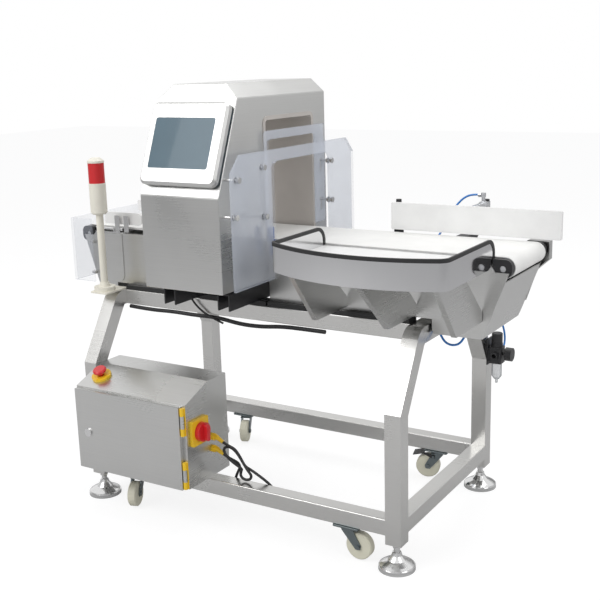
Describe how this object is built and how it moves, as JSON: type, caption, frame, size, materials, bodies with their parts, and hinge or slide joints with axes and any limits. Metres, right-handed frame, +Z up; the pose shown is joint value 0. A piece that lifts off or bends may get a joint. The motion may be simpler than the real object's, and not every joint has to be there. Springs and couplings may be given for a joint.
{
  "type": "conveyor metal detector",
  "caption": "Belt conveyor metal detector on a wheeled steel stand, with a tall detector head, a swing-arm reject, a curved reject tray and a control cabinet.",
  "frame": {"origin": "bottom centre of the bounding box, on the floor", "axes": "+X along the belt in its running direction, +Y from the operator's side to the rear, +Z up"},
  "size_m": [1.468, 0.8326, 1.243],
  "materials": {
    "aluminium": "anodised",
    "belt": "white belt",
    "black_plastic": "black",
    "bowl": "clear",
    "caster_brake": "black",
    "caster_fork": "grey zinc",
    "caster_plates": "grey zinc",
    "caster_wheel": "cream nylon",
    "clear": "clear polycarbonate",
    "coil": "copper winding",
    "display_panel": "dark teal panel",
    "fittings": "yellow",
    "hardware": "bright steel",
    "hose": "blue tube",
    "levelling_feet": "turned steel and dark pads",
    "motor": "grey paint",
    "red": "red",
    "roller": "turned",
    "rubber": "black rubber",
    "sensor": "blue",
    "sheet": "brushed stainless steel",
    "slider_bed": "sheet",
    "stand_frame": "brushed stainless steel",
    "tower": "cream",
    "tray": "polished stainless steel",
    "white_plastic": "white"
  },
  "bodies": {
    "stand": {"stand_frame": "stand_frame", "levelling_feet": "levelling_feet", "caster_plates": "caster_plates", "conveyor_side_plates": "sheet", "conveyor_covers": "sheet", "slider_bed": "slider_bed", "belt": "belt", "bearing_blocks": "black_plastic", "drive_motor": "motor", "drive_belt": "rubber", "drive_guard": "sheet", "infeed_guides": "white_plastic", "infeed_guard": "clear", "head_shell": "sheet", "detection_coils": "coil", "tunnel_liner": "white_plastic", "head_supports": "black_plastic", "rubber_mounts": "rubber", "display_housing": "sheet", "display_panel": "display_panel", "outfeed_guard": "clear", "guard_hardware": "hardware", "product_sensor": "sensor", "tray_wall": "tray", "tray_trim": "rubber", "tray_floor": "white_plastic", "tray_struts": "sheet", "reject_mount": "black_plastic", "cabinet_body": "sheet", "cabinet_fittings": "fittings", "control_gear": "aluminium", "tower_mast": "tower", "tower_lens": "red", "regulator_bowl": "bowl", "regulator_body": "black_plastic", "cable_harness": "rubber", "cabinet_cables": "rubber", "cable_hank": "rubber", "air_hoses": "hose"},
    "fork_1": {"caster_fork_1": "caster_fork"},
    "wheel_1": {"caster_wheel_1": "caster_wheel"},
    "fork_2": {"caster_fork_2": "caster_fork"},
    "wheel_2": {"caster_wheel_2": "caster_wheel"},
    "fork_3": {"caster_fork_3": "caster_fork"},
    "wheel_3": {"caster_wheel_3": "caster_wheel"},
    "fork_4": {"caster_fork_4": "caster_fork"},
    "wheel_4": {"caster_wheel_4": "caster_wheel"},
    "brake_pedal": {"caster_brake": "caster_brake"},
    "drive_roller": {"drive_roller": "roller"},
    "tail_roller": {"tail_roller": "roller"},
    "motor_pulley": {"motor_pulley": "roller"},
    "baffle": {"tunnel_baffle": "clear"},
    "reject_board": {"reject_board": "white_plastic"},
    "air_cylinder": {"reject_cylinder": "aluminium"},
    "cylinder_rod": {"cylinder_rod": "aluminium"},
    "cabinet_door": {"cabinet_door": "sheet"},
    "door_lock": {"door_lock": "hardware"},
    "stop_button": {"stop_button": "red"},
    "switch_knob": {"switch_knob": "red"},
    "regulator_knob": {"regulator_knob": "black_plastic"}
  },
  "joints": [
    {"name": "caster_1_swivel", "type": "hinge", "parent": "stand", "child": "fork_1", "pos_m": [-0.415, -0.24769, 0.092], "axis": [0, 0, 1], "continuous": true},
    {"name": "caster_1_roll", "type": "hinge", "parent": "fork_1", "child": "wheel_1", "pos_m": [-0.40405, -0.27776, 0.0405], "axis": [0.9397, 0.342, 0], "continuous": true},
    {"name": "caster_2_swivel", "type": "hinge", "parent": "stand", "child": "fork_2", "pos_m": [0.315, -0.24769, 0.092], "axis": [0, 0, 1], "continuous": true},
    {"name": "caster_2_roll", "type": "hinge", "parent": "fork_2", "child": "wheel_2", "pos_m": [0.347, -0.24769, 0.0405], "axis": [0, 1, 0], "continuous": true},
    {"name": "caster_3_swivel", "type": "hinge", "parent": "stand", "child": "fork_3", "pos_m": [0.315, 0.33831, 0.092], "axis": [0, 0, 1], "continuous": true},
    {"name": "caster_3_roll", "type": "hinge", "parent": "fork_3", "child": "wheel_3", "pos_m": [0.28409, 0.33002, 0.0405], "axis": [0.2588, -0.9659, 0], "continuous": true},
    {"name": "caster_4_swivel", "type": "hinge", "parent": "stand", "child": "fork_4", "pos_m": [-0.415, 0.33831, 0.092], "axis": [0, 0, 1], "continuous": true},
    {"name": "caster_4_roll", "type": "hinge", "parent": "fork_4", "child": "wheel_4", "pos_m": [-0.40301, 0.30864, 0.0405], "axis": [0.9272, 0.3746, 0], "continuous": true},
    {"name": "brake_pedal_press", "type": "hinge", "parent": "fork_3", "child": "brake_pedal", "pos_m": [0.30148, 0.33468, 0.075], "axis": [0.2588, -0.9659, 0], "range_deg": [0, 8]},
    {"name": "drive_roller_turn", "type": "hinge", "parent": "stand", "child": "drive_roller", "pos_m": [0.668, 0.04531, 0.785], "axis": [0, 1, 0], "continuous": true},
    {"name": "tail_roller_turn", "type": "hinge", "parent": "stand", "child": "tail_roller", "pos_m": [-0.691, 0.04531, 0.785], "axis": [0, 1, 0], "continuous": true},
    {"name": "motor_pulley_turn", "type": "hinge", "parent": "stand", "child": "motor_pulley", "pos_m": [0.562, 0.04531, 0.695], "axis": [0, 1, 0], "continuous": true},
    {"name": "baffle_lift", "type": "slide", "parent": "stand", "child": "baffle", "axis": [0, 0, 1], "range_m": [0, 0.025]},
    {"name": "reject_swing", "type": "hinge", "parent": "stand", "child": "reject_board", "pos_m": [0.25, 0.19531, 0.803], "axis": [0, 0, -1], "range_deg": [0, 30]},
    {"name": "cylinder_turn", "type": "hinge", "parent": "stand", "child": "air_cylinder", "pos_m": [0.437, 0.40031, 0.866], "axis": [0, 0, -1], "range_deg": [0, 5.17]},
    {"name": "rod_stroke", "type": "slide", "parent": "air_cylinder", "child": "cylinder_rod", "axis": [0.0146, -0.9999, 0], "range_m": [0, 0.09602]},
    {"name": "door_swing", "type": "hinge", "parent": "stand", "child": "cabinet_door", "pos_m": [-0.14, -0.36269, 0.141], "axis": [0, 0, 1], "range_deg": [0, 110]},
    {"name": "door_lock_turn", "type": "hinge", "parent": "cabinet_door", "child": "door_lock", "pos_m": [-0.486, -0.35669, 0.253], "axis": [0, 1, 0], "range_deg": [0, 90]},
    {"name": "stop_press", "type": "slide", "parent": "stand", "child": "stop_button", "axis": [0, 0.3502, -0.9367], "range_m": [0, 0.004]},
    {"name": "switch_turn", "type": "hinge", "parent": "stand", "child": "switch_knob", "pos_m": [-0.132, -0.30469, 0.298], "axis": [-1, 0, 0], "range_deg": [0, 90]},
    {"name": "regulator_knob_turn", "type": "hinge", "parent": "stand", "child": "regulator_knob", "pos_m": [0.502, 0.33531, 0.467], "axis": [0, 0, 1], "range_deg": [-720, 720]}
  ],
  "couplings": [
    {"joint": "tail_roller_turn", "follows": "drive_roller_turn", "ratio": 1},
    {"joint": "motor_pulley_turn", "follows": "drive_roller_turn", "ratio": 1},
    {"joint": "cylinder_turn", "follows": "reject_swing", "ratio": 0.17064},
    {"joint": "rod_stroke", "follows": "reject_swing", "m_per_rad": 0.183}
  ]
}
